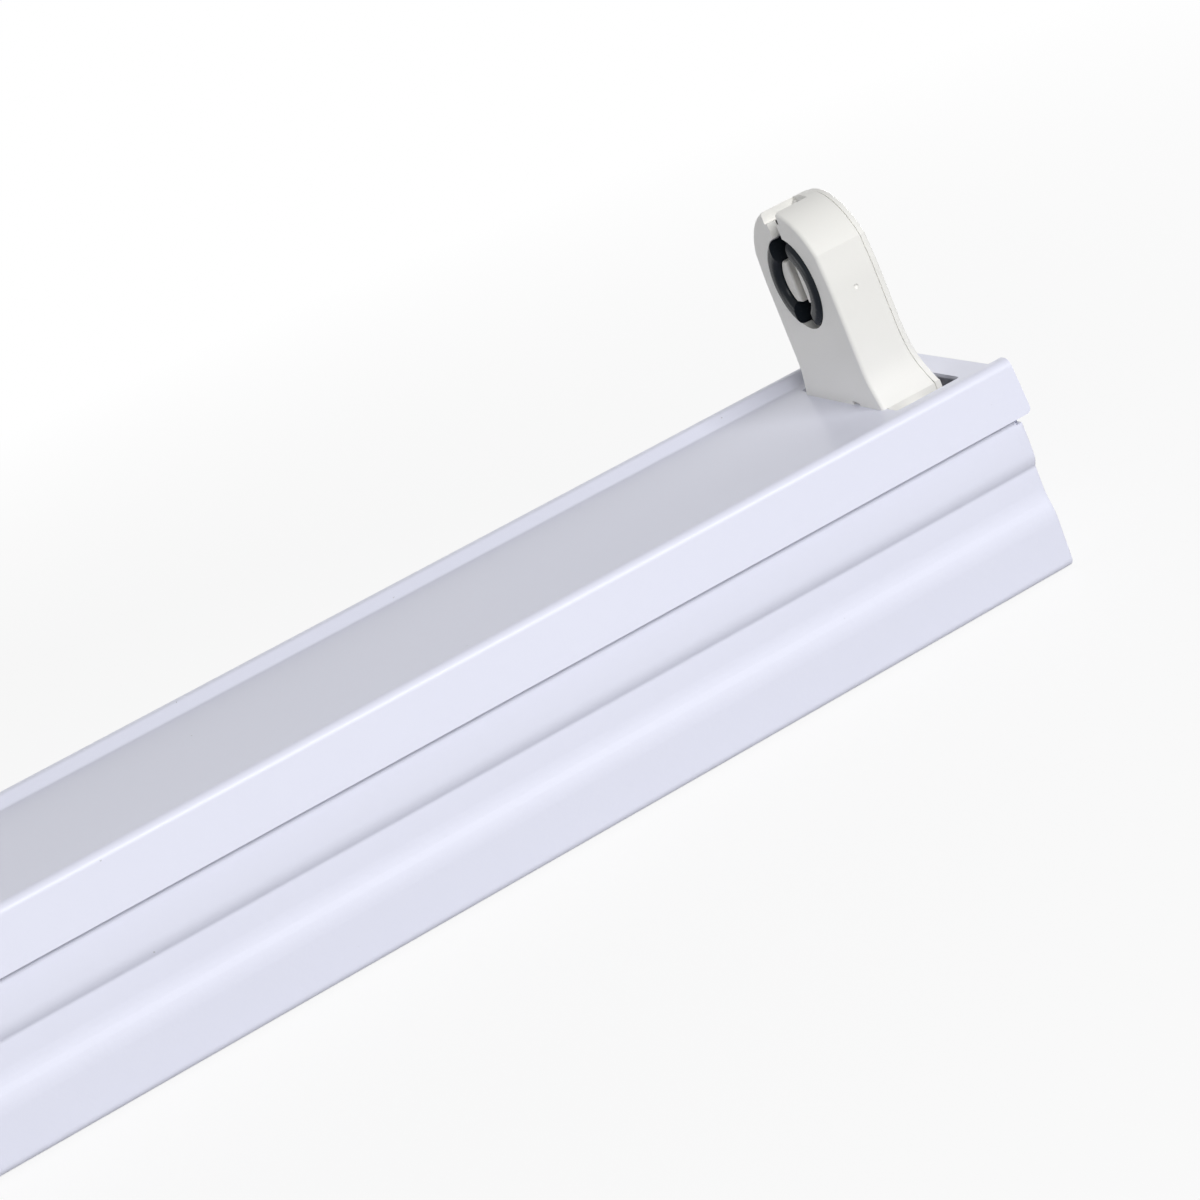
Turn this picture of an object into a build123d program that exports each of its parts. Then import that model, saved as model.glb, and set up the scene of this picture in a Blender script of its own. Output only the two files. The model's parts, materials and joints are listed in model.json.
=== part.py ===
from build123d import *

import os
from math import atan2, hypot, pi, tan

# Single-lamp fluorescent batten fixture, lying with its ceiling face on Z = 0 and its lamp side up.
# X runs along the lamp, Y across the body. The origin is the middle of the ceiling face. Millimetres.

# Lamp and its two-pin cap
LAMP_LENGTH = 589.8
LAMP_RADIUS = 13.0
LAMP_PLAY = 1.1
LAMP_AIR = 13.8
PIN_PITCH = 12.7
PIN_DIAMETER = 2.35
PIN_CLEARANCE = 0.55

# Sheet steel and clearances
SHEET = 0.8
SEAM_GAP = 0.6
REST_GAP = 0.3
RUNNING_GAP = 0.08
WIRE_GAP = 0.25

# Lamp tray section and length
TRAY_LIP_HALF = 35.0
TRAY_TOP_HALF = 33.4
CREST_Z = 44.9
TROUGH_DEPTH = 2.0
LIP_DROP = 11.3
RIM_TOP = 3.2
RIM_SLOPE = 3.6
RIM_BEND = 1.9
TRAY_END_REACH = 21.9
LIP_CORNER = 1.2

# Base channel section
BASE_TAPER = 0.5
BAND_DEPTH = 1.3
BAND_LOW_Z = 14.2
BAND_HIGH_Z = 23.2
BAND_STEP = 1.8
BAND_LOW_STEP = 4.2
BASE_BEND = 1.8
SHOULDER_RUN = 6.4
BAND_CREST_BEND = 4.4
BAND_ROOT_BEND = 1.2
BAND_SOFT_BEND = 9.0
FLANGE_WIDTH = 6.2
END_PLATE_INSET = 1.9
END_PLATE_DEPTH = 2.0
END_TONGUE = 8.0
END_EDGE_ROUND = 0.5
END_RELIEF = 1.5
END_RELIEF_DROP = 1.6
FIXING_SPACING = 400.0
FIXING_SLOT_WIDTH = 5.0
FIXING_SLOT_LENGTH = 9.0
CABLE_X = 100.0
CABLE_HOLE_RADIUS = 7.0
BUSH_BORE_RADIUS = 5.0
BUSH_FLANGE = 2.6
BUSH_FLANGE_HEIGHT = 2.2
BUSH_ROUND = 0.4

# Bridge and cover screw
BRIDGE_LENGTH = 16.0
BRIDGE_HALF = 14.0
BRIDGE_FOOT = 9.0
BRIDGE_TOP_Z = 35.0
BRIDGE_SHEET = 1.2
BRIDGE_BEND = 1.5
SCREW_RADIUS = 2.0
SCREW_HEAD_RADIUS = 4.6
SCREW_HEAD_HEIGHT = 2.4
SCREW_SLOT_WIDTH = 1.2
SCREW_SLOT_DEPTH = 1.2
SCREW_REACH = 6.0
NUT_RADIUS = 3.6
NUT_HEIGHT = 3.0
RETAINER_RADIUS = 4.2
RETAINER_HEIGHT = 1.0

# Lampholder
HOLDER_DEPTH = 11.8
HOLDER_BACK = 1.2
HOLDER_BACK_INSET = 0.2
HOLDER_BACK_ROUND = 0.4
SEAM_WIDTH = 0.3
SEAM_DEPTH = 0.5
HOLDER_ARCH_RISE = 15.8
HOLDER_CREASE_RISE = 6.3
HOLDER_CREASE_HALF = 14.9
HOLDER_SHOULDER_HALF = 15.6
HOLDER_WAIST_HALF = 15.8
HOLDER_WAIST_Z = 6.0
HOLDER_FOOT_HALF = 18.3
HOLDER_SIDE_ROUND = 30.0
HOLDER_FOOT_ROUND = 14.0
HOLDER_TAIL_REACH = 2.0
HOLDER_TAIL_Z = 14.5
GATE_DEPTH = 5.5
GATE_DROP = 2.5
GATE_RADIUS = 0.6
FOOT_NOTCH_Y = 6.6
FOOT_NOTCH_WIDTH = 3.0
FOOT_NOTCH_HEIGHT = 0.8
HOLDER_EDGE_ROUND = 0.8
HOLDER_FRONT_WALL = 2.0
HOLDER_SIDE_WALL = 2.6
ENTRY_DEPTH = 7.8
ENTRY_MOUTH = 7.0
ENTRY_THROAT = 4.6
ENTRY_STEP = 2.8
ENTRY_RAMP = 2.0
NECK_FRONT = 1.2
NECK_WALL = 1.6
NECK_DROP = 4.5
HOOK_GRIP = 1.8
HOOK_HEIGHT = 1.6
HOOK_RISE = 1.2
HOOK_FRONT = 4.6
HOOK_LENGTH = 4.2
CUTOUT_GAP = 0.3
CUTOUT_SLOT = 2.1
CUTOUT_SIDE = 4.5
CUTOUT_CORNER = 1.0

# Turning ring and core of the lampholder
RING_RADIUS = 10.0
RING_PROUD = 0.9
RING_NOTCH = 8.0
RING_FLANGE_RADIUS = 11.5
RING_FLANGE_DEPTH = 1.3
RING_HUB_COVER = 0.275
RING_WEB = 1.4
RING_ROUND = 1.5
SPIGOT_RADIUS = 2.5
SPIGOT_LENGTH = 1.6
BOSS_RADIUS = 4.6
BOSS_HEIGHT = 0.9
CORE_RADIUS = 5.9
CORE_HALF_HEIGHT = 4.5
CORE_SINK = 0.5
CORE_ROUND = 0.5
CORE_GAP = 0.2

# Contacts in the lampholder
CONTACT_SHEET = 0.5
CONTACT_WIDTH = 3.0
CONTACT_FRONT = 4.3
CONTACT_NOSE_GAP = 0.3
CONTACT_HEEL_Z = 12.0
CONTACT_TAB_Y = 7.0
CONTACT_TAB_Z = 5.0
CONTACT_BEND = 1.6

# Ballast under the tray
BALLAST_X = -102.0
BALLAST_LENGTH = 104.0
BALLAST_WIDTH = 30.0
BALLAST_HEIGHT = 21.0
BALLAST_WALL = 0.8
BALLAST_ROUND = 2.0
BALLAST_PLATE = 1.0
BALLAST_EAR = 12.0
BALLAST_STUD_REACH = 6.0
BALLAST_TERMINAL = 8.0
BALLAST_TERMINAL_HEIGHT = 9.0
BALLAST_TERMINAL_ROUND = 0.6
PORT_DEPTH = 5.0
LAMP_PORT_Y = 6.0
SUPPLY_PORT_Y = 6.0
RETURN_PORT_Y = 12.0

# Studs and nuts under the tray
STUD_RADIUS = 2.0
STUD_LENGTH = 6.0
STUD_NUT_FLATS = 7.0
STUD_NUT_HEIGHT = 3.2
EARTH_X = 22.0
TAG_THICKNESS = 0.8
TAG_RADIUS = 3.8
TAG_TAIL = 5.0

# Terminal block
BLOCK_X = 51.0
BLOCK_LENGTH = 18.0
BLOCK_HEIGHT = 14.0
BLOCK_PITCH = 9.0
BLOCK_POLES = 3
BLOCK_BARREL = 7.4
BLOCK_WEB = 5.0
BLOCK_SCREW_RADIUS = 1.8
BLOCK_SCREW_INSET = 4.6
BLOCK_SCREW_SINK = 2.0
BLOCK_SCREW_SLOT = 0.7

# Internal leads and their clips
WIRE_RADIUS = 0.9
WIRE_DROP = 4.6
WIRE_SIDE_Y = 19.0
WIRE_STRIP = 6.0
WIRE_BEND = 9.0
WIRE_SMALL_BEND = 2.7
WIRE_RISE_BEND = 5.4
WIRE_RISE_RUN = 45.0
WIRE_RISE_DROP = 3.6
RETURN_RUN = 13.5
RETURN_SWAY = 18.0
SUPPLY_RUN = 18.0
EARTH_RUN = 4.0
CLIP_WALL = 1.3
CLIP_LENGTH = 6.0
CLIP_MOUTH = 1.2
RIGHT_CLIP_X = (95.0, 210.0)
LEFT_CLIP_X = -225.0

# Places that follow from the sizes above
TROUGH_Z = CREST_Z - TROUGH_DEPTH
UNDERSIDE_Z = TROUGH_Z - SHEET
LIP_Z = CREST_Z - LIP_DROP
BASE_TOP_Z = UNDERSIDE_Z - REST_GAP
BAND_HALF = TRAY_LIP_HALF - SHEET - SEAM_GAP
BASE_TOP_HALF = TRAY_TOP_HALF - SHEET - SEAM_GAP
BASE_FOOT_HALF = BAND_HALF - BASE_TAPER
FACE_X = LAMP_LENGTH / 2 + LAMP_PLAY
TRAY_END_X = FACE_X + TRAY_END_REACH
BASE_END_X = TRAY_END_X - END_PLATE_INSET
CHANNEL_END_X = BASE_END_X - END_PLATE_DEPTH
AXIS_RISE = LAMP_RADIUS + LAMP_AIR
SHELL_DEPTH = HOLDER_DEPTH - HOLDER_BACK
NECK_HALF = HOLDER_FOOT_HALF
NECK_BACK = SHELL_DEPTH + HOLDER_TAIL_REACH
CUTOUT_BACK = HOLDER_DEPTH + HOLDER_TAIL_REACH + CUTOUT_SLOT
CUTOUT_HALF = HOLDER_FOOT_HALF + CUTOUT_SIDE
PIN_SLOT = PIN_DIAMETER + 2 * PIN_CLEARANCE
RING_HUB_RADIUS = (PIN_PITCH + PIN_DIAMETER) / 2 + RING_HUB_COVER
RING_BACK = SHELL_DEPTH - BOSS_HEIGHT - REST_GAP
RING_FLOOR = RING_BACK - RING_WEB
WIRE_Z = UNDERSIDE_Z - WIRE_DROP
WIRE_BORE = WIRE_RADIUS + WIRE_GAP
BALLAST_FACE_Z = UNDERSIDE_Z - BALLAST_PLATE
BALLAST_STUD_SPACING = BALLAST_LENGTH + 2 * (BALLAST_TERMINAL + BALLAST_STUD_REACH)


def box_between(low, high):
    """A box from its low corner to its high corner."""
    size = [h - l for l, h in zip(low, high)]
    middle = [(h + l) / 2 for l, h in zip(low, high)]
    return Pos(*middle) * Box(*size)


def along_x(radius, start, end, y=0.0, z=0.0):
    """A round bar along X."""
    return Pos((start + end) / 2, y, z) * Rot(0, 90, 0) * Cylinder(radius, end - start)


def along_z(radius, low, high, x=0.0, y=0.0):
    """A round bar along Z."""
    return Pos(x, y, (low + high) / 2) * Cylinder(radius, high - low)


def folded(points, radii, thickness):
    """A bent sheet's section: the sheet lies on the left of the line through the points."""
    line = FilletPolyline(*points, radius=radii)
    return make_face(offset(line, amount=thickness, side=Side.LEFT).edges())


def mirrored_line(right_half):
    """A symmetric line across the section, from the right half's points, listed from outside to the middle."""
    return right_half + [(-y, z) for y, z in reversed(right_half)]


def along_body(section, start, end):
    """Stretch a section drawn in (Y, Z) along X."""
    return Pos(start, 0, 0) * extrude(Plane.YZ * section, amount=end - start)


def base_half_line():
    """Outer line of the base channel's right half, from the top flange down to the ceiling face."""
    return [
        (BASE_TOP_HALF - FLANGE_WIDTH, BASE_TOP_Z),
        (BASE_TOP_HALF, BASE_TOP_Z),
        (BAND_HALF, LIP_Z),
        (BAND_HALF, BAND_HIGH_Z + BAND_STEP / 2),
        (BAND_HALF - BAND_DEPTH, BAND_HIGH_Z - BAND_STEP / 2),
        (BAND_HALF - BAND_DEPTH, BAND_LOW_Z + BAND_LOW_STEP / 2),
        (BAND_HALF, BAND_LOW_Z - BAND_LOW_STEP / 2),
        (BASE_FOOT_HALF, 0),
    ]


def shoulder_bend():
    """Bend radius at the shoulder, from the length that the bend takes up on each side, within its walls."""
    out, rise = BAND_HALF - BASE_TOP_HALF, BASE_TOP_Z - LIP_Z
    lean = atan2(out, rise)
    above = hypot(out, rise) - BASE_BEND * tan((pi / 2 - lean) / 2) - REST_GAP
    below = LIP_Z - BAND_HIGH_Z - BAND_STEP - BAND_CREST_BEND / 3
    return min(SHOULDER_RUN, above, below) / tan(abs(lean) / 2)


def crest_bend():
    """Bend radius at the outer corner of the upper step, within the wall that the inner bend leaves."""
    wall = hypot(BAND_DEPTH, BAND_STEP) / tan(atan2(BAND_DEPTH, BAND_STEP) / 2)
    return min(BAND_CREST_BEND, wall - 2 * BAND_ROOT_BEND)


def base_radii():
    """Outer bend radii of the base channel, in the order of its line's corners."""
    band = [crest_bend(), BAND_ROOT_BEND, BAND_SOFT_BEND, BAND_SOFT_BEND]
    right = [BASE_BEND, shoulder_bend()] + band + [BASE_BEND]
    return right + right[::-1]


def base_section():
    """Sheet section of the base channel, with its inside on the line's right."""
    line = FilletPolyline(*mirrored_line(base_half_line()), radius=base_radii())
    return make_face(offset(line, amount=SHEET, side=Side.RIGHT).edges())


def base_outline(inset=0.0):
    """Filled outline of the base, drawn in by an inset."""
    half = base_half_line()[1:]
    radii = base_radii()
    edge = FilletPolyline(*mirrored_line(half), radius=radii, close=True)
    face = make_face(edge.edges())
    return offset(face, amount=-inset) if inset else face


def base_channel():
    """Folded channel with its fixing slots and cable hole in the ceiling side."""
    body = along_body(base_section(), -CHANNEL_END_X, CHANNEL_END_X)
    slot = extrude(SlotOverall(FIXING_SLOT_LENGTH, FIXING_SLOT_WIDTH), amount=SHEET, both=True)
    for side in (-1, 1):
        body -= Pos(side * FIXING_SPACING / 2, 0, 0) * slot
    body -= along_z(CABLE_HOLE_RADIUS, -SHEET, 2 * SHEET, CABLE_X)
    return body


def end_plate():
    """Pressed end of the base at +X: a shallow pan with corner reliefs and a tongue inside the channel."""
    pan = along_body(base_outline(), CHANNEL_END_X, BASE_END_X)
    rim = pan.faces().sort_by(Axis.X)[-1].edges()
    pan = fillet(rim, END_EDGE_ROUND)
    pan -= along_body(base_outline(2 * SHEET), CHANNEL_END_X, BASE_END_X - SHEET)
    tongue = base_outline(SHEET) - base_outline(2 * SHEET)
    tongue = along_body(tongue, CHANNEL_END_X - END_TONGUE, CHANNEL_END_X)
    top = BASE_TOP_Z - FLANGE_WIDTH
    trim = box_between(
        (CHANNEL_END_X - 2 * END_TONGUE, -TRAY_LIP_HALF, top),
        (CHANNEL_END_X, TRAY_LIP_HALF, CREST_Z),
    )
    relief = box_between(
        (BASE_END_X - END_RELIEF, BAND_HALF - 3 * SHEET, LIP_Z - END_RELIEF_DROP),
        (BASE_END_X + END_RELIEF, TRAY_LIP_HALF, LIP_Z),
    )
    pan -= relief + mirror(relief, about=Plane.XZ)
    return pan + (tongue - trim)


def cable_bush():
    """Rubber bush in the cable hole, flush with the ceiling face and flanged inside."""
    flange_z = SHEET + BUSH_FLANGE_HEIGHT
    bush = along_z(CABLE_HOLE_RADIUS, 0, SHEET, CABLE_X)
    bush += along_z(CABLE_HOLE_RADIUS + BUSH_FLANGE, SHEET, flange_z, CABLE_X)
    bush -= along_z(BUSH_BORE_RADIUS, -SHEET, 2 * flange_z, CABLE_X)
    return fillet(bush.faces().sort_by(Axis.Z)[-1].edges(), BUSH_ROUND)


def bridge():
    """Hat-shaped bridge across the base that takes the cover screw."""
    half = [
        (BRIDGE_HALF + BRIDGE_FOOT, SHEET),
        (BRIDGE_HALF, SHEET),
        (BRIDGE_HALF, BRIDGE_TOP_Z - BRIDGE_SHEET),
    ]
    radii = [BRIDGE_BEND, BRIDGE_BEND + BRIDGE_SHEET]
    line = FilletPolyline(*mirrored_line(half), radius=radii + radii[::-1])
    section = make_face(offset(line, amount=BRIDGE_SHEET, side=Side.RIGHT).edges())
    strap = along_body(section, -BRIDGE_LENGTH / 2, BRIDGE_LENGTH / 2)
    return strap - along_z(NUT_RADIUS, BRIDGE_TOP_Z - 2 * BRIDGE_SHEET, BRIDGE_TOP_Z + 2 * BRIDGE_SHEET)


def bridge_nut():
    """Flanged clinch nut in the bridge."""
    plate_low = BRIDGE_TOP_Z - BRIDGE_SHEET
    nut = along_z(NUT_RADIUS, plate_low, BRIDGE_TOP_Z)
    nut += along_z(NUT_RADIUS + BRIDGE_SHEET, plate_low - NUT_HEIGHT, plate_low)
    return nut - along_z(SCREW_RADIUS + RUNNING_GAP, BRIDGE_TOP_Z - 2 * NUT_HEIGHT, CREST_Z)


def cover_screw():
    """Slotted screw that holds the tray to the bridge, with its head on the trough floor."""
    seat = TROUGH_Z + RUNNING_GAP
    head = along_z(SCREW_HEAD_RADIUS, seat, seat + SCREW_HEAD_HEIGHT)
    head = fillet(head.faces().sort_by(Axis.Z)[-1].edges(), SCREW_HEAD_HEIGHT / 2)
    slot_z = seat + SCREW_HEAD_HEIGHT - SCREW_SLOT_DEPTH
    head -= box_between(
        (-2 * SCREW_HEAD_RADIUS, -SCREW_SLOT_WIDTH / 2, slot_z),
        (2 * SCREW_HEAD_RADIUS, SCREW_SLOT_WIDTH / 2, CREST_Z + SCREW_HEAD_HEIGHT),
    )
    tip = BRIDGE_TOP_Z - SCREW_REACH
    shank = along_z(SCREW_RADIUS, tip, seat)
    shank = chamfer(shank.faces().sort_by(Axis.Z)[0].edges(), SCREW_RADIUS / 4)
    return head + shank


def screw_retainer():
    """Ring on the screw under the tray that keeps it captive."""
    top = UNDERSIDE_Z - REST_GAP
    ring = along_z(RETAINER_RADIUS, top - RETAINER_HEIGHT, top)
    return ring - along_z(SCREW_RADIUS, top - 2 * RETAINER_HEIGHT, top + RETAINER_HEIGHT)


def tray_half_line():
    """Outer line of the tray's right half, from the lip to the trough floor."""
    return [
        (TRAY_LIP_HALF, LIP_Z),
        (TRAY_TOP_HALF, CREST_Z),
        (TRAY_TOP_HALF - RIM_TOP, CREST_Z),
        (TRAY_TOP_HALF - RIM_TOP - RIM_SLOPE, TROUGH_Z),
    ]


def lamp_tray():
    """Folded tray with raised rims, a lampholder cut-out near each end and the cover screw's hole."""
    section = folded(mirrored_line(tray_half_line()), RIM_BEND, SHEET)
    body = along_body(section, -TRAY_END_X, TRAY_END_X)
    ends = body.edges().filter_by(lambda e: abs(e.center().X) > TRAY_END_X - SHEET)
    body = fillet(ends.filter_by(lambda e: e.center().Z < LIP_Z + SHEET), LIP_CORNER)
    cut_low = UNDERSIDE_Z - SHEET
    cut = box_between(
        (NECK_FRONT - CUTOUT_GAP, -CUTOUT_HALF, cut_low),
        (CUTOUT_BACK, CUTOUT_HALF, CREST_Z),
    )
    cut = fillet(cut.edges().filter_by(Axis.Z), CUTOUT_CORNER)
    for turn in (0, 180):
        body -= Rot(0, 0, turn) * Pos(FACE_X, 0, 0) * cut
    return body - along_z(SCREW_RADIUS + REST_GAP, cut_low, CREST_Z)


def holder_outline(inset=0.0):
    """Front outline of the lampholder, above the trough floor: a low arch on sides that spread at the foot."""
    crease = (HOLDER_CREASE_HALF, AXIS_RISE + HOLDER_CREASE_RISE)
    side = [
        crease,
        (HOLDER_SHOULDER_HALF, AXIS_RISE),
        (HOLDER_WAIST_HALF, HOLDER_WAIST_Z),
        (HOLDER_FOOT_HALF, 0),
    ]
    near = FilletPolyline(*side, radius=[HOLDER_SIDE_ROUND, HOLDER_FOOT_ROUND])
    far = mirror(near, about=Plane.YZ)
    foot = Line((HOLDER_FOOT_HALF, 0), (-HOLDER_FOOT_HALF, 0))
    arch = ThreePointArc((-crease[0], crease[1]), (0, AXIS_RISE + HOLDER_ARCH_RISE), crease)
    face = make_face(Curve() + [near, foot, far, arch])
    return offset(face, amount=-inset) if inset else face


def from_face(section, start, end):
    """Stretch a section drawn in the lampholder's face back from one depth to another."""
    return Pos(start, 0, 0) * extrude(Plane.YZ * section, amount=end - start)


def behind(start):
    """The space behind an upright surface of the lampholder that curves out to a tail at the foot."""
    tail = (start + HOLDER_TAIL_REACH, 0)
    sweep_in = TangentArc((start, HOLDER_TAIL_Z), tail, tangent=(0, -1))
    rest = Polyline(
        tail,
        (2 * HOLDER_DEPTH, 0),
        (2 * HOLDER_DEPTH, 2 * AXIS_RISE),
        (start, 2 * AXIS_RISE),
        (start, HOLDER_TAIL_Z),
    )
    section = Plane.XZ * make_face(Curve() + [sweep_in, rest])
    return extrude(section, amount=2 * HOLDER_FOOT_HALF, both=True)


def holder_skirt():
    """The lampholder's foot below the tray: a hollow skirt with a snap wing under each side of the cut-out."""
    skirt = box_between((NECK_FRONT, -NECK_HALF, -NECK_DROP), (NECK_BACK, NECK_HALF, 0))
    reach = CUTOUT_HALF + HOOK_GRIP
    tip = -SHEET - CUTOUT_GAP
    root = tip - HOOK_RISE
    half = [
        (0, root),
        (NECK_HALF, root),
        (reach, tip),
        (reach, tip - HOOK_HEIGHT / 2),
        (NECK_HALF, root - HOOK_HEIGHT),
        (0, root - HOOK_HEIGHT),
    ]
    other = [(-y, z) for y, z in reversed(half[1:-1])]
    wings = from_face(make_face(Polyline(*half, *other, close=True)), HOOK_FRONT, HOOK_FRONT + HOOK_LENGTH)
    hollow = box_between(
        (NECK_FRONT + NECK_WALL, -NECK_HALF + NECK_WALL, -2 * NECK_DROP),
        (2 * HOLDER_DEPTH, NECK_HALF - NECK_WALL, -NECK_WALL),
    )
    return skirt + wings - hollow


def lampholder_housing():
    """Moulded front of a lampholder, hollow from the back, with the entry slot and a skirt below the tray."""
    shell = from_face(holder_outline(), 0, NECK_BACK) - behind(SHELL_DEPTH)
    front = shell.faces().sort_by(Axis.X)[0].edges()
    shell = fillet(front.filter_by(lambda e: e.center().Z > SHEET), HOLDER_EDGE_ROUND)
    body = shell + holder_skirt()
    body -= from_face(holder_outline(HOLDER_SIDE_WALL), HOLDER_FRONT_WALL, 2 * HOLDER_DEPTH)
    well_half = HOLDER_WAIST_HALF - HOLDER_SIDE_WALL
    body -= box_between(
        (NECK_FRONT + NECK_WALL, -well_half, -2 * NECK_DROP),
        (2 * HOLDER_DEPTH, well_half, HOLDER_WAIST_Z),
    )
    body -= along_x(RING_RADIUS + RUNNING_GAP, -SHEET, HOLDER_DEPTH, z=AXIS_RISE)
    step_z = AXIS_RISE + HOLDER_ARCH_RISE - ENTRY_STEP
    mouth = box_between((-SHEET, -ENTRY_MOUTH / 2, step_z), (ENTRY_DEPTH, ENTRY_MOUTH / 2, 2 * AXIS_RISE))
    mouth = chamfer(mouth.edges().filter_by(Axis.Y).group_by(Axis.X)[-1].sort_by(Axis.Z)[0], ENTRY_RAMP)
    throat = box_between((-SHEET, -ENTRY_THROAT / 2, AXIS_RISE), (ENTRY_DEPTH, ENTRY_THROAT / 2, 2 * AXIS_RISE))
    body -= Pos(GATE_DEPTH, -HOLDER_SHOULDER_HALF - GATE_RADIUS / 2, AXIS_RISE - GATE_DROP) * Sphere(GATE_RADIUS)
    body -= box_between(
        (-SHEET, -FOOT_NOTCH_Y - FOOT_NOTCH_WIDTH / 2, -SHEET),
        (NECK_FRONT / 2, -FOOT_NOTCH_Y + FOOT_NOTCH_WIDTH / 2, FOOT_NOTCH_HEIGHT),
    )
    return body - mouth - throat - back_seam()


def back_seam():
    """Groove round the back edge of the lampholder's housing, where the back cover meets it."""
    band = from_face(holder_outline(), 0, NECK_BACK) - from_face(holder_outline(SEAM_DEPTH), 0, NECK_BACK)
    groove = band & behind(SHELL_DEPTH - SEAM_WIDTH)
    for side in (-NECK_HALF, NECK_HALF):
        groove += box_between(
            (NECK_BACK - SEAM_WIDTH, side - SEAM_DEPTH, -2 * NECK_DROP),
            (NECK_BACK, side + SEAM_DEPTH, SEAM_DEPTH),
        )
    return groove


def lampholder_back():
    """Back cover of a lampholder, with the bearing boss for the ring and a tongue down behind the skirt."""
    reach = HOLDER_DEPTH + HOLDER_TAIL_REACH
    plate = from_face(holder_outline(HOLDER_BACK_INSET), 0, reach) - behind(HOLDER_DEPTH)
    rim = plate.edges().filter_by(lambda e: e.center().X > SHELL_DEPTH)
    plate = fillet(rim - rim.filter_by(Axis.Y), HOLDER_BACK_ROUND) & behind(SHELL_DEPTH)
    half = NECK_HALF - HOLDER_BACK_INSET
    tongue = box_between((NECK_BACK, -half, -NECK_DROP), (reach, half, HOLDER_BACK_INSET))
    boss = along_x(BOSS_RADIUS, SHELL_DEPTH - BOSS_HEIGHT, SHELL_DEPTH, z=AXIS_RISE)
    bearing = along_x(
        SPIGOT_RADIUS + RUNNING_GAP,
        SHELL_DEPTH - 2 * BOSS_HEIGHT,
        RING_BACK + SPIGOT_LENGTH + REST_GAP,
        z=AXIS_RISE,
    )
    return plate + tongue + boss - bearing


def rotor_ring():
    """Dark turning ring: front disc, retaining flange and hub, slotted across for the lamp's pins."""
    flange_x = HOLDER_FRONT_WALL + REST_GAP
    profile = [
        (-RING_PROUD, 0),
        (-RING_PROUD, RING_RADIUS),
        (flange_x, RING_RADIUS),
        (flange_x, RING_FLANGE_RADIUS),
        (flange_x + RING_FLANGE_DEPTH, RING_FLANGE_RADIUS),
        (flange_x + RING_FLANGE_DEPTH, RING_HUB_RADIUS),
        (RING_BACK, RING_HUB_RADIUS),
        (RING_BACK, SPIGOT_RADIUS),
        (RING_BACK + SPIGOT_LENGTH, SPIGOT_RADIUS),
        (RING_BACK + SPIGOT_LENGTH, 0),
    ]
    face = make_face(Polyline(*profile, close=True).edges())
    ring = revolve(face, axis=Axis.X)
    ring -= along_x(CORE_RADIUS + CORE_GAP, -2 * RING_PROUD, RING_FLOOR)
    ring = fillet(ring.faces().sort_by(Axis.X)[0].edges(), RING_ROUND)
    ring -= box_between(
        (-2 * RING_PROUD, -RING_NOTCH / 2, -2 * RING_RADIUS),
        (RING_FLOOR, RING_NOTCH / 2, 2 * RING_RADIUS),
    )
    return Pos(0, 0, AXIS_RISE) * ring


def rotor_core():
    """Pale centre of the ring: two jaws that guide the pins between them."""
    height = Rectangle(2 * CORE_RADIUS, 2 * CORE_HALF_HEIGHT)
    core = from_face(Circle(CORE_RADIUS) & height, CORE_SINK, RING_FLOOR)
    core -= box_between(
        (0, -PIN_SLOT / 2, -2 * CORE_RADIUS),
        (RING_FLOOR, PIN_SLOT / 2, 2 * CORE_RADIUS),
    )
    core = fillet(core.faces().sort_by(Axis.X)[:2].edges(), CORE_ROUND)
    return Pos(0, 0, AXIS_RISE) * core


def holder_contacts():
    """Two spring contacts, each from beside the ring's hub down to its lead."""
    nose = RING_HUB_RADIUS + CONTACT_NOSE_GAP
    wall = HOLDER_SHOULDER_HALF - HOLDER_SIDE_WALL - CONTACT_SHEET
    line = [
        (nose + CONTACT_SHEET, AXIS_RISE + CORE_HALF_HEIGHT),
        (nose, AXIS_RISE),
        (wall, AXIS_RISE - RING_HUB_RADIUS),
        (wall, CONTACT_HEEL_Z + CONTACT_TAB_Z),
        (CONTACT_TAB_Y, CONTACT_HEEL_Z),
        (CONTACT_TAB_Y, CONTACT_TAB_Z),
    ]
    strip = folded(line, CONTACT_BEND, CONTACT_SHEET)
    right = from_face(strip, CONTACT_FRONT, CONTACT_FRONT + CONTACT_WIDTH)
    return Compound([right, mirror(right, about=Plane.XZ)])


def at_end(shape, end):
    """Place a lampholder piece at the right (1) or left (-1) end."""
    turn = 0 if end > 0 else 180
    return Rot(0, 0, turn) * Pos(FACE_X, 0, TROUGH_Z) * shape


def ballast_case():
    """Metal case of the ballast, open towards its plate."""
    low = BALLAST_FACE_Z - BALLAST_HEIGHT
    case = box_between(
        (BALLAST_X - BALLAST_LENGTH / 2, -BALLAST_WIDTH / 2, low),
        (BALLAST_X + BALLAST_LENGTH / 2, BALLAST_WIDTH / 2, BALLAST_FACE_Z),
    )
    case = fillet(case.edges().filter_by(Axis.X).sort_by(Axis.Z)[:2], BALLAST_ROUND)
    return offset(case, amount=-BALLAST_WALL, openings=case.faces().sort_by(Axis.Z)[-1])


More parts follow.
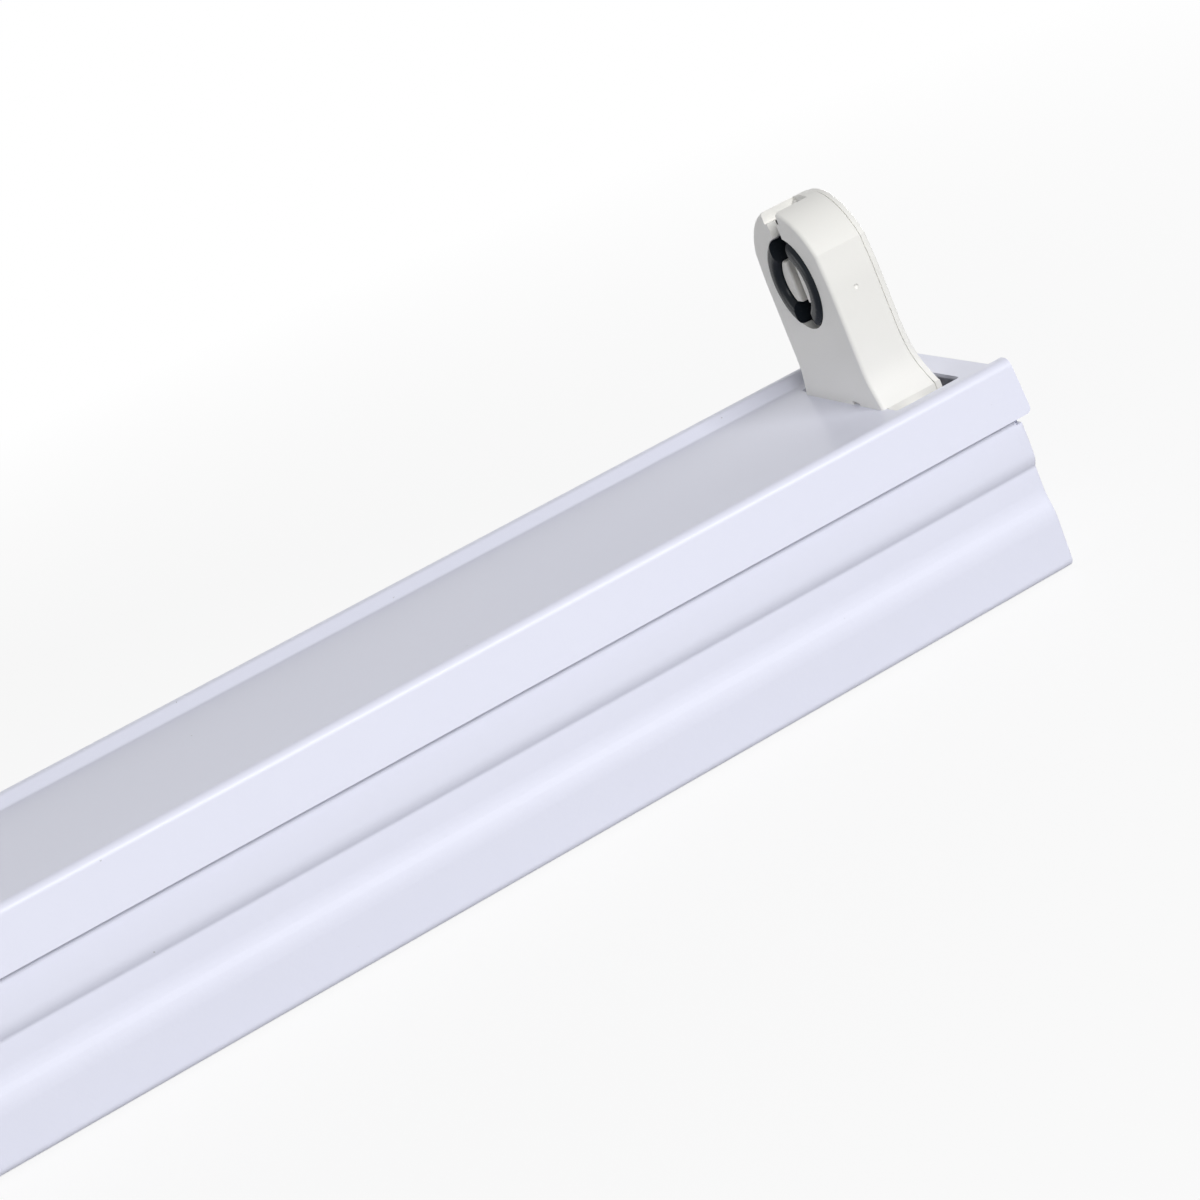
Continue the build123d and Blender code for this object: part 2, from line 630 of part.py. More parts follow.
def ballast_plate():
    """Plate that closes the ballast and carries it, with a slotted ear at each end."""
    half = BALLAST_STUD_SPACING / 2 + BALLAST_EAR / 2
    plate = box_between(
        (BALLAST_X - half, -BALLAST_WIDTH / 2, BALLAST_FACE_Z),
        (BALLAST_X + half, BALLAST_WIDTH / 2, UNDERSIDE_Z),
    )
    plate = fillet(plate.edges().filter_by(Axis.Z), BALLAST_ROUND)
    width = 2 * (STUD_RADIUS + REST_GAP)
    slot = extrude(SlotOverall(1.5 * width, width), amount=2 * BALLAST_PLATE, both=True)
    for side in (-1, 1):
        plate -= Pos(BALLAST_X + side * BALLAST_STUD_SPACING / 2, 0, BALLAST_FACE_Z) * slot
    return plate


def ballast_terminal(end, ports):
    """Terminal strip at one end of the ballast, with a port for each lead."""
    start = BALLAST_LENGTH / 2
    strip = box_between(
        (start, -BALLAST_WIDTH / 2, BALLAST_FACE_Z - BALLAST_TERMINAL_HEIGHT),
        (start + BALLAST_TERMINAL, BALLAST_WIDTH / 2, BALLAST_FACE_Z),
    )
    strip = fillet(strip.edges().filter_by(Axis.Y).sort_by(Axis.Z)[:2], BALLAST_TERMINAL_ROUND)
    for y in ports:
        for side in (-1, 1):
            mouth = start + BALLAST_TERMINAL
            strip -= along_x(WIRE_BORE, mouth - PORT_DEPTH, mouth + PORT_DEPTH, side * y, WIRE_Z)
    turn = 0 if end > 0 else 180
    return Pos(BALLAST_X, 0, 0) * Rot(0, 0, turn) * strip


def stud(x, y):
    """Welded stud under the tray."""
    bar = along_z(STUD_RADIUS, UNDERSIDE_Z - STUD_LENGTH, UNDERSIDE_Z, x, y)
    return chamfer(bar.faces().sort_by(Axis.Z)[0].edges(), STUD_RADIUS / 4)


def stud_nut(x, y, top):
    """Hexagon nut on a stud, below what it clamps."""
    hexagon = extrude(RegularPolygon(STUD_NUT_FLATS / 2, 6, major_radius=False), amount=-STUD_NUT_HEIGHT)
    nut = Pos(x, y, top) * hexagon
    return nut - along_z(STUD_RADIUS, top - 2 * STUD_NUT_HEIGHT, top + STUD_NUT_HEIGHT, x, y)


def ballast_stud_places():
    """Middle of each ballast stud along X."""
    return [BALLAST_X - BALLAST_STUD_SPACING / 2, BALLAST_X + BALLAST_STUD_SPACING / 2]


def pole_places():
    """Middle of each pole of the terminal block across Y."""
    return [(i - (BLOCK_POLES - 1) / 2) * BLOCK_PITCH for i in range(BLOCK_POLES)]


def block_screw_places():
    """Clamp screws of the terminal block, two on each pole."""
    offset_x = BLOCK_LENGTH / 2 - BLOCK_SCREW_INSET
    return [(BLOCK_X + side * offset_x, y) for y in pole_places() for side in (-1, 1)]


def terminal_block():
    """Moulded terminal block: a barrel for each pole, joined by webs, with lead holes and screw wells."""
    low = UNDERSIDE_Z - BLOCK_HEIGHT
    start = BLOCK_X - BLOCK_LENGTH / 2
    end = BLOCK_X + BLOCK_LENGTH / 2
    reach = pole_places()[-1] + BLOCK_BARREL / 2
    body = box_between((start, -reach, UNDERSIDE_Z - BLOCK_WEB), (end, reach, UNDERSIDE_Z))
    for y in pole_places():
        barrel = Pos(y, low + BLOCK_BARREL / 2) * Circle(BLOCK_BARREL / 2)
        barrel += Pos(y, UNDERSIDE_Z - (BLOCK_HEIGHT - BLOCK_BARREL / 2) / 2) * Rectangle(
            BLOCK_BARREL, BLOCK_HEIGHT - BLOCK_BARREL / 2
        )
        body += along_body(barrel, start, end)
    for y in pole_places():
        body -= along_x(WIRE_BORE, start - WIRE_STRIP, start + WIRE_STRIP, y, WIRE_Z)
        body -= along_x(WIRE_BORE, end - WIRE_STRIP, end + WIRE_STRIP, y, WIRE_Z)
    for x, y in block_screw_places():
        body -= along_z(BLOCK_SCREW_RADIUS, low - BLOCK_SCREW_SINK, WIRE_Z, x, y)
    for side in (-1, 1):
        body -= along_z(STUD_RADIUS, low, CREST_Z, BLOCK_X, side * BLOCK_PITCH / 2)
    return body


def block_screws():
    """Clamp screws of the terminal block."""
    low = UNDERSIDE_Z - BLOCK_HEIGHT + BLOCK_SCREW_SINK
    screw = along_z(BLOCK_SCREW_RADIUS, low, WIRE_Z - WIRE_RADIUS - WIRE_GAP)
    screw -= box_between(
        (-2 * BLOCK_SCREW_RADIUS, -BLOCK_SCREW_SLOT / 2, low - BLOCK_SCREW_SLOT),
        (2 * BLOCK_SCREW_RADIUS, BLOCK_SCREW_SLOT / 2, low + BLOCK_SCREW_SLOT),
    )
    return Compound([Pos(x, y, 0) * screw for x, y in block_screw_places()])


def earth_tag():
    """Ring tag on the earth stud, with a tail towards the terminal block."""
    ring = Circle(TAG_RADIUS) + Pos((TAG_RADIUS + TAG_TAIL) / 2, 0) * Rectangle(TAG_RADIUS + TAG_TAIL, TAG_RADIUS)
    ring -= Circle(STUD_RADIUS)
    return Pos(EARTH_X, 0, UNDERSIDE_Z - TAG_THICKNESS) * extrude(ring, amount=TAG_THICKNESS)


def lead(points, radii):
    """An insulated lead along straight runs and tangent arcs."""
    path = FilletPolyline(*points, radius=radii)
    section = Plane(origin=path @ 0, z_dir=path % 0) * Circle(WIRE_RADIUS)
    return sweep(section, path=path)


def holder_rise(end, side):
    """The last points of a lead: under the lampholder's neck, then up to its contact."""
    x = end * (FACE_X + CONTACT_FRONT + CONTACT_WIDTH / 2)
    y = side * (CONTACT_TAB_Y + CONTACT_SHEET / 2)
    turn_z = TROUGH_Z - NECK_DROP - WIRE_RISE_DROP
    return [(x, y, turn_z), (x, y, TROUGH_Z + CONTACT_TAB_Z)]


def lead_to_right(side):
    """Lead from the ballast's supply end to a contact of the right lampholder."""
    mouth = BALLAST_X + BALLAST_LENGTH / 2 + BALLAST_TERMINAL
    points = [
        (mouth - PORT_DEPTH, side * RETURN_PORT_Y, WIRE_Z),
        (mouth + RETURN_RUN, side * RETURN_PORT_Y, WIRE_Z),
        (mouth + RETURN_RUN + RETURN_SWAY, side * WIRE_SIDE_Y, WIRE_Z),
        (FACE_X - WIRE_RISE_RUN, side * WIRE_SIDE_Y, WIRE_Z),
    ]
    points += holder_rise(1, side)
    return lead(points, [WIRE_BEND, WIRE_BEND, WIRE_BEND, WIRE_RISE_BEND])


def lead_to_left(side):
    """Lead from the ballast's lamp end to a contact of the left lampholder."""
    mouth = BALLAST_X - BALLAST_LENGTH / 2 - BALLAST_TERMINAL
    points = [
        (mouth + PORT_DEPTH, side * LAMP_PORT_Y, WIRE_Z),
        (-FACE_X + WIRE_RISE_RUN, side * LAMP_PORT_Y, WIRE_Z),
    ]
    points += holder_rise(-1, side)
    return lead(points, [WIRE_BEND, WIRE_RISE_BEND])


def supply_lead(side):
    """Lead from an outer pole of the terminal block to the ballast."""
    block_end = BLOCK_X - BLOCK_LENGTH / 2
    mouth = BALLAST_X + BALLAST_LENGTH / 2 + BALLAST_TERMINAL
    pole_y = side * pole_places()[-1]
    points = [
        (block_end + WIRE_STRIP, pole_y, WIRE_Z),
        (block_end - SUPPLY_RUN, pole_y, WIRE_Z),
        (mouth + WIRE_BEND, side * SUPPLY_PORT_Y, WIRE_Z),
        (mouth - PORT_DEPTH, side * SUPPLY_PORT_Y, WIRE_Z),
    ]
    return lead(points, WIRE_BEND)


def earth_lead():
    """Lead from the middle pole up to the earth tag's tail."""
    block_end = BLOCK_X - BLOCK_LENGTH / 2
    tag_z = UNDERSIDE_Z - TAG_THICKNESS - WIRE_RADIUS
    tail = EARTH_X + TAG_RADIUS + TAG_TAIL / 2
    points = [
        (block_end + WIRE_STRIP, 0, WIRE_Z),
        (block_end - WIRE_RADIUS, 0, WIRE_Z),
        (tail + EARTH_RUN, 0, tag_z),
        (tail, 0, tag_z),
    ]
    return lead(points, WIRE_SMALL_BEND)


def lead_clips():
    """Open clips under the tray that carry the leads."""
    outer = WIRE_RADIUS + RUNNING_GAP + CLIP_WALL
    stem = Pos(0, (UNDERSIDE_Z + WIRE_Z) / 2) * Rectangle(2 * outer, WIRE_DROP)
    section = stem + Pos(0, WIRE_Z) * Circle(outer)
    section -= Pos(0, WIRE_Z) * Circle(WIRE_RADIUS + RUNNING_GAP)
    section -= Pos(0, WIRE_Z - outer) * Rectangle(CLIP_MOUTH, 2 * outer - WIRE_RADIUS)
    clip = along_body(section, -CLIP_LENGTH / 2, CLIP_LENGTH / 2)
    places = [(x, side * WIRE_SIDE_Y) for x in RIGHT_CLIP_X for side in (-1, 1)]
    places += [(LEFT_CLIP_X, side * LAMP_PORT_Y) for side in (-1, 1)]
    return Compound([Pos(x, y, 0) * clip for x, y in places])


def all_parts():
    """Every piece of the fixture by name, in its place."""
    plate = end_plate()
    parts = {
        "base_channel": base_channel(),
        "end_plate_right": plate,
        "end_plate_left": Rot(0, 0, 180) * plate,
        "cable_bush": cable_bush(),
        "bridge": bridge(),
        "bridge_nut": bridge_nut(),
        "lamp_tray": lamp_tray(),
        "cover_screw": cover_screw(),
        "screw_retainer": screw_retainer(),
        "ballast_case": ballast_case(),
        "ballast_plate": ballast_plate(),
        "ballast_supply_terminal": ballast_terminal(1, (SUPPLY_PORT_Y, RETURN_PORT_Y)),
        "ballast_lamp_terminal": ballast_terminal(-1, (LAMP_PORT_Y,)),
        "ballast_studs": Compound([stud(x, 0) for x in ballast_stud_places()]),
        "ballast_nuts": Compound([stud_nut(x, 0, BALLAST_FACE_Z) for x in ballast_stud_places()]),
        "terminal_block": terminal_block(),
        "block_screws": block_screws(),
        "block_stud": stud(BLOCK_X, BLOCK_PITCH / 2),
        "earth_stud": stud(EARTH_X, 0),
        "earth_tag": earth_tag(),
        "earth_nut": stud_nut(EARTH_X, 0, UNDERSIDE_Z - TAG_THICKNESS),
        "earth_lead": earth_lead(),
        "supply_lead_live": supply_lead(1),
        "supply_lead_neutral": supply_lead(-1),
        "lead_clips": lead_clips(),
    }
    holder = {
        "lampholder_housing": lampholder_housing(),
        "lampholder_back": lampholder_back(),
        "lampholder_contacts": holder_contacts(),
        "rotor_ring": rotor_ring(),
        "rotor_core": rotor_core(),
    }
    for end, word in ((1, "right"), (-1, "left")):
        for name, shape in holder.items():
            parts[f"{name}_{word}"] = at_end(shape, end)
    for side, word in ((1, "far"), (-1, "near")):
        parts[f"lamp_lead_right_{word}"] = lead_to_right(side)
        parts[f"lamp_lead_left_{word}"] = lead_to_left(side)
    return parts


os.makedirs("parts", exist_ok=True)
for name, shape in all_parts().items():
    export_step(shape, f"parts/{name}.step")
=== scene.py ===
import json

import bmesh
import bpy
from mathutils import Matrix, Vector

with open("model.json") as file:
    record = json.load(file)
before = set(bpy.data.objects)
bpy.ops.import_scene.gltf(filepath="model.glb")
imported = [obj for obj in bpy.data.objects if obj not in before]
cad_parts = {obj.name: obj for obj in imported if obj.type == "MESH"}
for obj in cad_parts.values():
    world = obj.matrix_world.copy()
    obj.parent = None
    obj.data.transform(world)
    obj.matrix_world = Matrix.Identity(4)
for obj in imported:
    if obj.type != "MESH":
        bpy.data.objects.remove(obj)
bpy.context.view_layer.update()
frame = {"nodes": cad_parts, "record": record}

nodes = frame["nodes"]

# Textures: a scale counts features per metre, and a depth is in metres

PEEL_SCALE = 900.0
PEEL_STRENGTH = 0.05
PEEL_DEPTH = 0.0004
SPECK_SCALE = 160.0
SPECK_CORE = 0.018  # radii of a speck, in cells of its pattern
SPECK_EDGE = 0.045
SPECK_RAG = (0.0004, 0.0004, 0.0004)
CLEAN_SHARE = 0.72
FINE_GRAIN = 2600.0
COARSE_GRAIN = 1800.0
RUBBER_GRAIN = 1500.0
GRAIN_DEPTH = 0.0002
STREAK_DEPTH = 0.0001
STRIPE_START = 0.00018  # where the earth lead's stripe begins and is full, in metres across
STRIPE_FULL = 0.00024
NOISE_LOW = 0.3  # most of a noise texture's values lie between these
NOISE_HIGH = 0.7

# Roughness: a finish is this much smoother and rougher than its middle value, or ranges between two

GRAIN_SMOOTHER = 0.04
GRAIN_ROUGHER = 0.05
STREAK_SMOOTHER = 0.07
STREAK_ROUGHER = 0.09
PAINT_SMOOTH = 0.30
PAINT_ROUGH = 0.38
EARTH_SMOOTH = 0.36
EARTH_ROUGH = 0.46

# Colours

PAINT_SHADE = (0.794, 0.807, 0.930)
PAINT_LIGHT = (0.820, 0.833, 0.950)
DUST = (0.27, 0.25, 0.24, 1.0)
EARTH_GREEN = (0.10, 0.36, 0.06, 1.0)
EARTH_YELLOW = (0.78, 0.66, 0.06, 1.0)
ROOM = (0.94, 0.96, 1.0, 1.0)
WHITE = (1.0, 1.0, 1.0, 1.0)
FLOOR_BOUNCE = (0.40, 0.40, 0.40, 1.0)
FLOOR_SHADED = (0.90, 0.90, 0.90, 1.0)

# Stage and camera, in metres, radians and, for the lens, millimetres

ROOM_STRENGTH = 0.10
FLOOR_HALF = 40.0
FLOOR_DROP = 0.0004
SHADOW_START = 0.35  # distances from the object's middle over which the shadow fades
SHADOW_END = 0.9
SHADOW_GLOW = 0.86  # how much of the floor is plain white where the shadow is strongest
EYE_PLACE = (0.13703, -0.40476, 0.16373)
EYE_TURN = (1.232131, 0.405413, -0.368277)
EYE_CLIP = 0.01
SENSOR = 36.0
LENS = 65.066

FLOAT = "NodeSocketFloat"
VECTOR = "NodeSocketVector"


# Shader building blocks


def add(tree, kind, inputs=None, **settings):
    """A shader node with its settings and the plain values of its sockets."""
    made = tree.nodes.new(kind)
    for key, value in settings.items():
        setattr(made, key, value)
    for key, value in (inputs or {}).items():
        made.inputs[key].default_value = value
    return made


def join(tree, source, output, target, entry):
    """Link one node's output to another's input."""
    tree.links.new(source.outputs[output], target.inputs[entry])


def new_group(name, entries, results):
    """A shader node group with its named inputs and outputs, and its two end nodes."""
    group = bpy.data.node_groups.new(name, "ShaderNodeTree")
    for direction, sockets in (("INPUT", entries), ("OUTPUT", results)):
        for socket, kind in sockets.items():
            group.interface.new_socket(socket, in_out=direction, socket_type=kind)
    return group, group.nodes.new("NodeGroupInput"), group.nodes.new("NodeGroupOutput")


def sheet_paint_group():
    """Sprayed gloss paint: slow clouding, an orange-peel skin and a few ragged dust specks."""
    group, start, end = new_group(
        "sheet_paint",
        {"Vector": VECTOR, "Peel Scale": FLOAT, "Speck Scale": FLOAT},
        {"Cloud": FLOAT, "Speck": FLOAT, "Peel": FLOAT},
    )
    cloud = add(group, "ShaderNodeTexNoise", {"Scale": 14.0, "Detail": 3.0, "Roughness": 0.55})
    peel = add(group, "ShaderNodeTexNoise", {"Detail": 2.0, "Roughness": 0.5})
    cells = add(group, "ShaderNodeTexVoronoi", {"Randomness": 1.0})
    grit = add(group, "ShaderNodeTexNoise", {"Scale": 3200.0, "Detail": 1.0})
    ragged = add(group, "ShaderNodeVectorMath", {1: SPECK_RAG}, operation="MULTIPLY_ADD")
    near = add(
        group, "ShaderNodeMapRange",
        {"From Min": SPECK_CORE, "From Max": SPECK_EDGE, "To Min": 1.0, "To Max": 0.0},
    )
    pick = add(group, "ShaderNodeSeparateColor")
    rare = add(group, "ShaderNodeMath", {1: CLEAN_SHARE}, operation="GREATER_THAN")
    faded = add(group, "ShaderNodeMath", operation="MULTIPLY")
    speck = add(group, "ShaderNodeMath", operation="MULTIPLY")
    for texture in (cloud, peel, grit):
        join(group, start, "Vector", texture, "Vector")
    join(group, grit, "Color", ragged, 0)
    join(group, start, "Vector", ragged, 2)
    join(group, ragged, "Vector", cells, "Vector")
    join(group, start, "Peel Scale", peel, "Scale")
    join(group, start, "Speck Scale", cells, "Scale")
    join(group, cells, "Distance", near, "Value")
    join(group, cells, "Color", pick, "Color")
    join(group, pick, "Red", rare, 0)
    join(group, near, "Result", faded, 0)
    join(group, pick, "Green", faded, 1)
    join(group, faded, "Value", speck, 0)
    join(group, rare, "Value", speck, 1)
    join(group, cloud, "Fac", end, "Cloud")
    join(group, speck, "Value", end, "Speck")
    join(group, peel, "Fac", end, "Peel")
    return group


def moulded_group():
    """Moulded plastic: slow flow clouding and a fine spark-eroded grain."""
    group, start, end = new_group(
        "moulded_skin", {"Vector": VECTOR, "Grain Scale": FLOAT}, {"Cloud": FLOAT, "Grain": FLOAT}
    )
    cloud = add(group, "ShaderNodeTexNoise", {"Scale": 45.0, "Detail": 3.0, "Roughness": 0.5})
    grain = add(group, "ShaderNodeTexNoise", {"Detail": 3.0, "Roughness": 0.6})
    for texture in (cloud, grain):
        join(group, start, "Vector", texture, "Vector")
    join(group, start, "Grain Scale", grain, "Scale")
    join(group, cloud, "Fac", end, "Cloud")
    join(group, grain, "Fac", end, "Grain")
    return group


def rolled_metal_group():
    """Rolled or plated metal: fine streaks along one direction over slow blotches."""
    group, start, end = new_group(
        "rolled_metal", {"Vector": VECTOR, "Stretch": VECTOR}, {"Streak": FLOAT, "Blotch": FLOAT}
    )
    stretch = add(group, "ShaderNodeVectorMath", operation="MULTIPLY")
    streak = add(group, "ShaderNodeTexNoise", {"Scale": 1.0, "Detail": 4.0, "Roughness": 0.65})
    blotch = add(group, "ShaderNodeTexVoronoi", {"Scale": 260.0, "Randomness": 1.0}, feature="SMOOTH_F1")
    join(group, start, "Vector", stretch, 0)
    join(group, start, "Stretch", stretch, 1)
    join(group, stretch, "Vector", streak, "Vector")
    join(group, start, "Vector", blotch, "Vector")
    join(group, streak, "Fac", end, "Streak")
    join(group, blotch, "Distance", end, "Blotch")
    return group


SHEET_PAINT = sheet_paint_group()
MOULDED = moulded_group()
ROLLED = rolled_metal_group()


def finish_on(name, group, inputs, shader):
    """A material with one surface group on Object coordinates, and its shader."""
    material = bpy.data.materials.new(name)
    material.use_nodes = True
    tree = material.node_tree
    bsdf = tree.nodes["Principled BSDF"]
    for key, value in shader.items():
        bsdf.inputs[key].default_value = value
    place = add(tree, "ShaderNodeTexCoord")
    skin = add(tree, "ShaderNodeGroup", node_tree=group)
    for key, value in inputs.items():
        skin.inputs[key].default_value = value
    join(tree, place, "Object", skin, "Vector")
    return material, tree, skin, bsdf


def two_tone(tree, skin, output, low, high):
    """A colour that drifts between two tones with one of the group's values."""
    mix = add(tree, "ShaderNodeMix", {"A": (*low, 1.0), "B": (*high, 1.0)}, data_type="RGBA")
    join(tree, skin, output, mix, "Factor")
    return mix


def roughen(tree, skin, output, smooth, rough, bsdf):
    """Roughness that ranges from smooth to rough with one of the group's values."""
    ranged = add(
        tree, "ShaderNodeMapRange",
        {"From Min": NOISE_LOW, "From Max": NOISE_HIGH, "To Min": smooth, "To Max": rough},
    )
    join(tree, skin, output, ranged, "Value")
    join(tree, ranged, "Result", bsdf, "Roughness")


def relief(tree, skin, output, strength, distance, bsdf):
    """Bump from one of the group's values."""
    bump = add(tree, "ShaderNodeBump", {"Strength": strength, "Distance": distance})
    join(tree, skin, output, bump, "Height")
    join(tree, bump, "Normal", bsdf, "Normal")


# Finishes


def white_paint():
    """Cool white gloss paint of the sheet steel."""
    material, tree, skin, bsdf = finish_on(
        "white_paint", SHEET_PAINT,
        {"Peel Scale": PEEL_SCALE, "Speck Scale": SPECK_SCALE},
        {"Coat Weight": 0.16, "Coat Roughness": 0.14, "Specular IOR Level": 0.25},
    )
    tone = two_tone(tree, skin, "Cloud", PAINT_SHADE, PAINT_LIGHT)
    dusty = add(tree, "ShaderNodeMix", {"B": DUST}, data_type="RGBA")
    join(tree, tone, "Result", dusty, "A")
    join(tree, skin, "Speck", dusty, "Factor")
    join(tree, dusty, "Result", bsdf, "Base Color")
    roughen(tree, skin, "Cloud", PAINT_SMOOTH, PAINT_ROUGH, bsdf)
    relief(tree, skin, "Peel", PEEL_STRENGTH, PEEL_DEPTH, bsdf)
    return material


def moulded(name, low, high, rough, grain=FINE_GRAIN, relief_strength=0.06, **shader):
    """A moulded plastic in two close tones."""
    material, tree, skin, bsdf = finish_on(name, MOULDED, {"Grain Scale": grain}, shader)
    join(tree, two_tone(tree, skin, "Cloud", low, high), "Result", bsdf, "Base Color")
    roughen(tree, skin, "Grain", rough - GRAIN_SMOOTHER, rough + GRAIN_ROUGHER, bsdf)
    relief(tree, skin, "Grain", relief_strength, GRAIN_DEPTH, bsdf)
    return material


def rolled(name, low, high, rough, stretch, relief_strength=0.08):
    """A bare or plated metal in two close tones."""
    material, tree, skin, bsdf = finish_on(name, ROLLED, {"Stretch": stretch}, {"Metallic": 1.0})
    join(tree, two_tone(tree, skin, "Blotch", low, high), "Result", bsdf, "Base Color")
    roughen(tree, skin, "Streak", rough - STREAK_SMOOTHER, rough + STREAK_ROUGHER, bsdf)
    relief(tree, skin, "Streak", relief_strength, STREAK_DEPTH, bsdf)
    return material


def earth_insulation():
    """Green insulation with a yellow stripe along it."""
    material, tree, skin, bsdf = finish_on("lead_green", MOULDED, {"Grain Scale": COARSE_GRAIN}, {})
    place = add(tree, "ShaderNodeTexCoord")
    split = add(tree, "ShaderNodeSeparateXYZ")
    stripe = add(
        tree, "ShaderNodeMapRange",
        {"From Min": STRIPE_START, "From Max": STRIPE_FULL, "To Min": 0.0, "To Max": 1.0},
    )
    mix = add(tree, "ShaderNodeMix", {"A": EARTH_GREEN, "B": EARTH_YELLOW}, data_type="RGBA")
    join(tree, place, "Object", split, "Vector")
    join(tree, split, "Y", stripe, "Value")
    join(tree, stripe, "Result", mix, "Factor")
    join(tree, mix, "Result", bsdf, "Base Color")
    roughen(tree, skin, "Grain", EARTH_SMOOTH, EARTH_ROUGH, bsdf)
    return material


MATT = {"Specular IOR Level": 0.25}
SATIN = {"Specular IOR Level": 0.13}
FINISHES = {
    "white_paint": white_paint(),
    "holder_white": moulded(
        "holder_white", low=(0.842, 0.834, 0.800), high=(0.862, 0.855, 0.822), rough=0.46, **MATT
    ),
    "ring_grey": moulded(
        "ring_grey", low=(0.010, 0.013, 0.017), high=(0.016, 0.020, 0.025), rough=0.24,
        grain=COARSE_GRAIN, relief_strength=0.01, **SATIN
    ),
    "core_white": moulded(
        "core_white", low=(0.780, 0.766, 0.722), high=(0.810, 0.796, 0.752), rough=0.42
    ),
    "contact_brass": rolled(
        "contact_brass", low=(0.66, 0.46, 0.20), high=(0.76, 0.57, 0.28), rough=0.30,
        stretch=(1400.0, 1400.0, 50.0)
    ),
    "zinc_steel": rolled(
        "zinc_steel", low=(0.52, 0.53, 0.54), high=(0.66, 0.67, 0.67), rough=0.34,
        stretch=(60.0, 900.0, 900.0)
    ),
    "black_rubber": moulded(
        "black_rubber", low=(0.018, 0.018, 0.020), high=(0.030, 0.030, 0.032), rough=0.62,
        grain=RUBBER_GRAIN, relief_strength=0.12
    ),
    "ballast_metal": rolled(
        "ballast_metal", low=(0.70, 0.71, 0.72), high=(0.78, 0.79, 0.80), rough=0.36,
        stretch=(30.0, 1500.0, 1500.0)
    ),
    "terminal_plastic": moulded(
        "terminal_plastic", low=(0.74, 0.74, 0.70), high=(0.79, 0.79, 0.76), rough=0.40
    ),
    "clip_nylon": moulded("clip_nylon", low=(0.80, 0.80, 0.76), high=(0.85, 0.85, 0.82), rough=0.44),
    "lead_brown": moulded(
        "lead_brown", low=(0.14, 0.055, 0.025), high=(0.18, 0.075, 0.035), rough=0.40, grain=COARSE_GRAIN
    ),
    "lead_blue": moulded(
        "lead_blue", low=(0.020, 0.090, 0.36), high=(0.030, 0.115, 0.42), rough=0.40, grain=COARSE_GRAIN
    ),
    "lead_green": earth_insulation(),
    "lead_white": moulded(
        "lead_white", low=(0.78, 0.78, 0.76), high=(0.83, 0.83, 0.81), rough=0.40, grain=COARSE_GRAIN
    ),
}


def dress_nodes():
    """Give every CAD node the finish of its slot."""
    for row in frame["record"]["subparts"]:
        mesh = nodes[row["node"]].data
        mesh.materials.clear()
        mesh.materials.append(FINISHES[row["material_slot"]])


# Stage, light and camera


def white_to_camera(tree, lit, white):
    """Mix a shader with a white one for what the camera, reflections and glass see."""
    path = add(tree, "ShaderNodeLightPath")
    glossy = add(tree, "ShaderNodeMath", operation="MAXIMUM")
    clear = add(tree, "ShaderNodeMath", operation="MAXIMUM")
    mix = add(tree, "ShaderNodeMixShader")
    join(tree, path, "Is Camera Ray", glossy, 0)
    join(tree, path, "Is Glossy Ray", glossy, 1)
    join(tree, glossy, "Value", clear, 0)
    join(tree, path, "Is Transmission Ray", clear, 1)
    join(tree, clear, "Value", mix, "Fac")
    join(tree, lit, 0, mix, 1)
    join(tree, white, 0, mix, 2)
    return mix


def studio_world():
    """Even soft room light, white where it is seen."""
    world = bpy.data.worlds.new("studio")
    world.use_nodes = True
    tree = world.node_tree
    tree.nodes.clear()
    lit = add(tree, "ShaderNodeBackground", {"Color": ROOM, "Strength": ROOM_STRENGTH})
    white = add(tree, "ShaderNodeBackground", {"Color": WHITE, "Strength": 1.0})
    mix = white_to_camera(tree, lit, white)
    out = add(tree, "ShaderNodeOutputWorld")
    join(tree, mix, 0, out, "Surface")
    bpy.context.scene.world = world


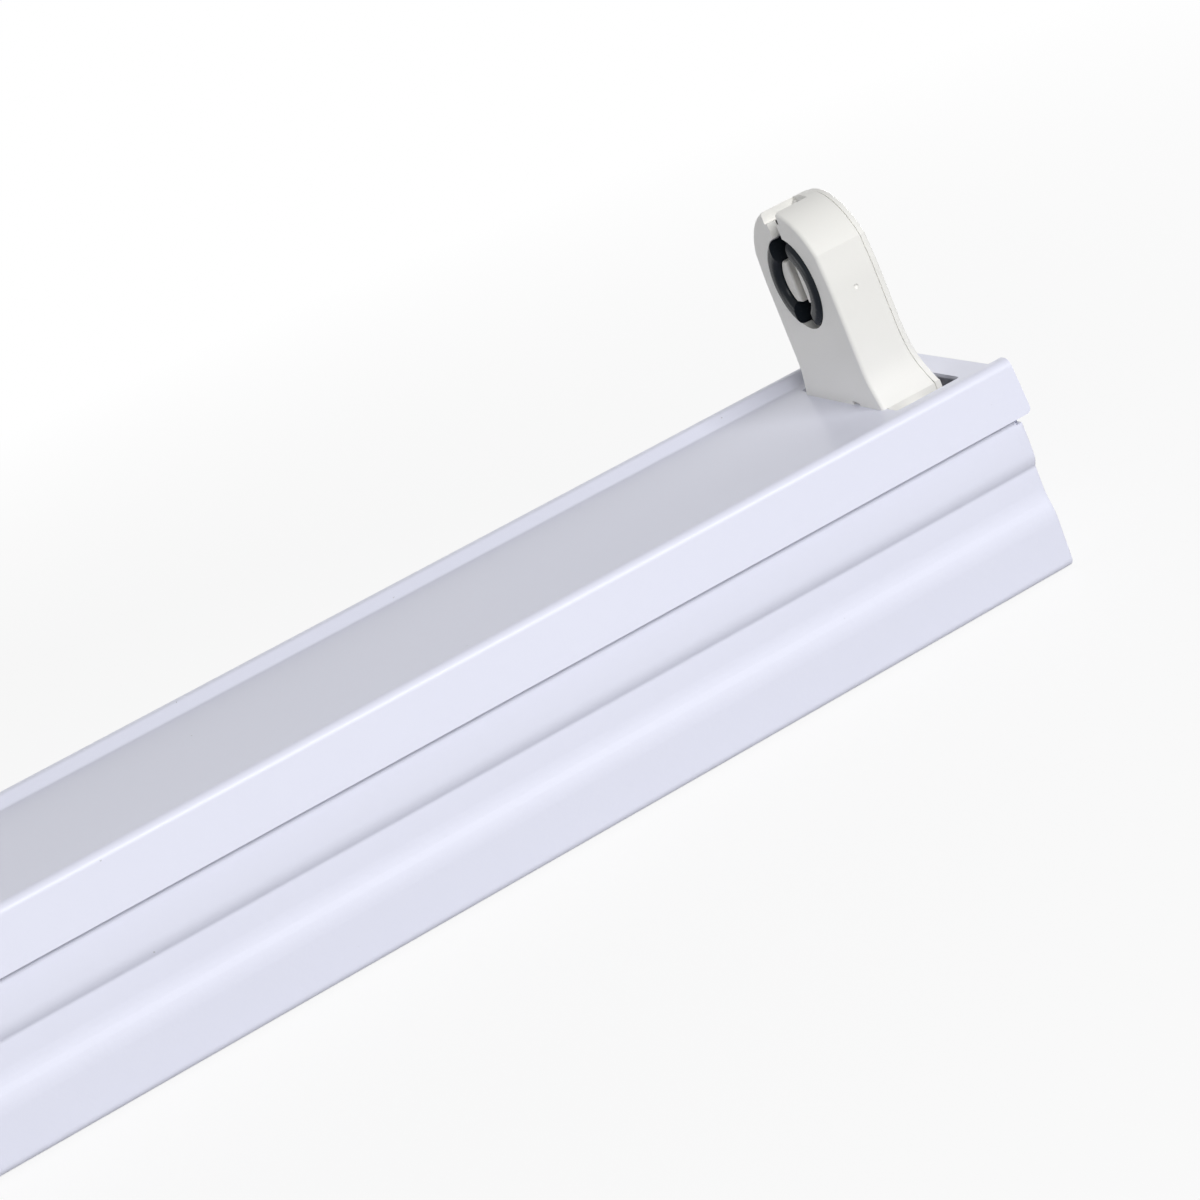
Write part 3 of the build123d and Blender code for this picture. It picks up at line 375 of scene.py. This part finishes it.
def floor_white():
    """White floor whose shadow is faint by the object and fades out around it."""
    material = bpy.data.materials.new("floor_white")
    material.use_nodes = True
    tree = material.node_tree
    tree.nodes.clear()
    lit = add(tree, "ShaderNodeBsdfDiffuse", {"Color": FLOOR_BOUNCE})
    shaded = add(tree, "ShaderNodeBsdfDiffuse", {"Color": FLOOR_SHADED})
    glow = add(tree, "ShaderNodeEmission", {"Color": WHITE, "Strength": 1.0})
    place = add(tree, "ShaderNodeTexCoord")
    away = add(tree, "ShaderNodeVectorMath", operation="LENGTH")
    fade = add(
        tree, "ShaderNodeMapRange",
        {"From Min": SHADOW_START, "From Max": SHADOW_END, "To Min": SHADOW_GLOW, "To Max": 1.0},
    )
    faint = add(tree, "ShaderNodeMixShader")
    join(tree, place, "Object", away, "Vector")
    join(tree, away, "Value", fade, "Value")
    join(tree, fade, "Result", faint, "Fac")
    join(tree, shaded, 0, faint, 1)
    join(tree, glow, 0, faint, 2)
    mix = white_to_camera(tree, lit, faint)
    out = add(tree, "ShaderNodeOutputMaterial")
    join(tree, mix, 0, out, "Surface")
    return material


def floor():
    """Plain floor just under the ceiling face."""
    mesh = bpy.data.meshes.new("floor")
    shape = bmesh.new()
    bmesh.ops.create_grid(shape, x_segments=1, y_segments=1, size=FLOOR_HALF)
    bmesh.ops.translate(shape, verts=shape.verts, vec=(0, 0, -FLOOR_DROP))
    shape.to_mesh(mesh)
    shape.free()
    ground = bpy.data.objects.new("floor", mesh)
    bpy.context.scene.collection.objects.link(ground)
    mesh.materials.append(floor_white())


def softbox(name, place, aim, size, power, mirrored=True):
    """An oblong area light, which gloss mirrors or not."""
    light = bpy.data.lights.new(name, "AREA")
    light.shape = "RECTANGLE"
    light.size, light.size_y = size
    light.energy = power
    lamp = bpy.data.objects.new(name, light)
    lamp.location = place
    lamp.visible_glossy = mirrored
    lamp.rotation_euler = (Vector(aim) - Vector(place)).to_track_quat("-Z", "Y").to_euler()
    bpy.context.scene.collection.objects.link(lamp)


def camera():
    """The photograph's viewpoint, turned so that the body runs up to the right."""
    data = bpy.data.cameras.new("camera")
    data.sensor_width = SENSOR
    data.lens = LENS
    data.clip_start = EYE_CLIP
    eye = bpy.data.objects.new("camera", data)
    eye.location = EYE_PLACE
    eye.rotation_euler = EYE_TURN
    bpy.context.scene.collection.objects.link(eye)
    bpy.context.scene.camera = eye


dress_nodes()
studio_world()
floor()
softbox("key", place=(0.40, -1.84, 1.14), aim=(0.20, 0.0, 0.05), size=(1.6, 1.0), power=43.5)
softbox("left", place=(-1.6, 0.9, 0.30), aim=(0.1, 0.0, 0.05), size=(1.2, 0.6), power=8.5)
softbox("right", place=(1.8, 1.2, 0.22), aim=(0.1, 0.0, 0.05), size=(1.6, 0.6), power=23.0)
softbox("back", place=(-0.2, 2.0, 0.14), aim=(0.0, 0.0, 0.05), size=(1.8, 0.5), power=13.0, mirrored=False)
camera()
bpy.context.scene.view_settings.view_transform = "Standard"
